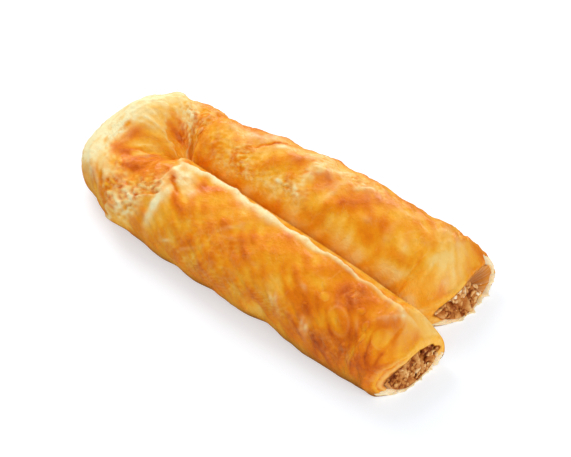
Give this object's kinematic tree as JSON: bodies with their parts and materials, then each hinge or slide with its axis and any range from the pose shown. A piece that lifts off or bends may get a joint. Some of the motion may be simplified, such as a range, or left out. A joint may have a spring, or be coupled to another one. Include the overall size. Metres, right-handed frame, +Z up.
{
  "type": "apple banitsa",
  "caption": "Apple banitsa: a filled roll of thin baked pastry, folded double into a hairpin that lies flat, with its filling showing at the cut ends.",
  "frame": {"origin": "centre of the bounding box's bottom face, on the surface that the roll lies on", "axes": "+X along both arms towards the cut ends, +Y across from the long arm to the short arm, +Z up"},
  "size_m": [0.2139, 0.1034, 0.0364],
  "materials": {
    "crust": "Thin baked pastry, golden with deeper orange-brown patches and pale cream ridges, with a light oily sheen.",
    "filling": "Moist grated apple in short pale shreds and brown spiced crumbs, uneven and dull with small wet glints."
  },
  "bodies": {
    "root": {"pastry_roll": "crust", "apple_filling": "filling"}
  },
  "joints": []
}
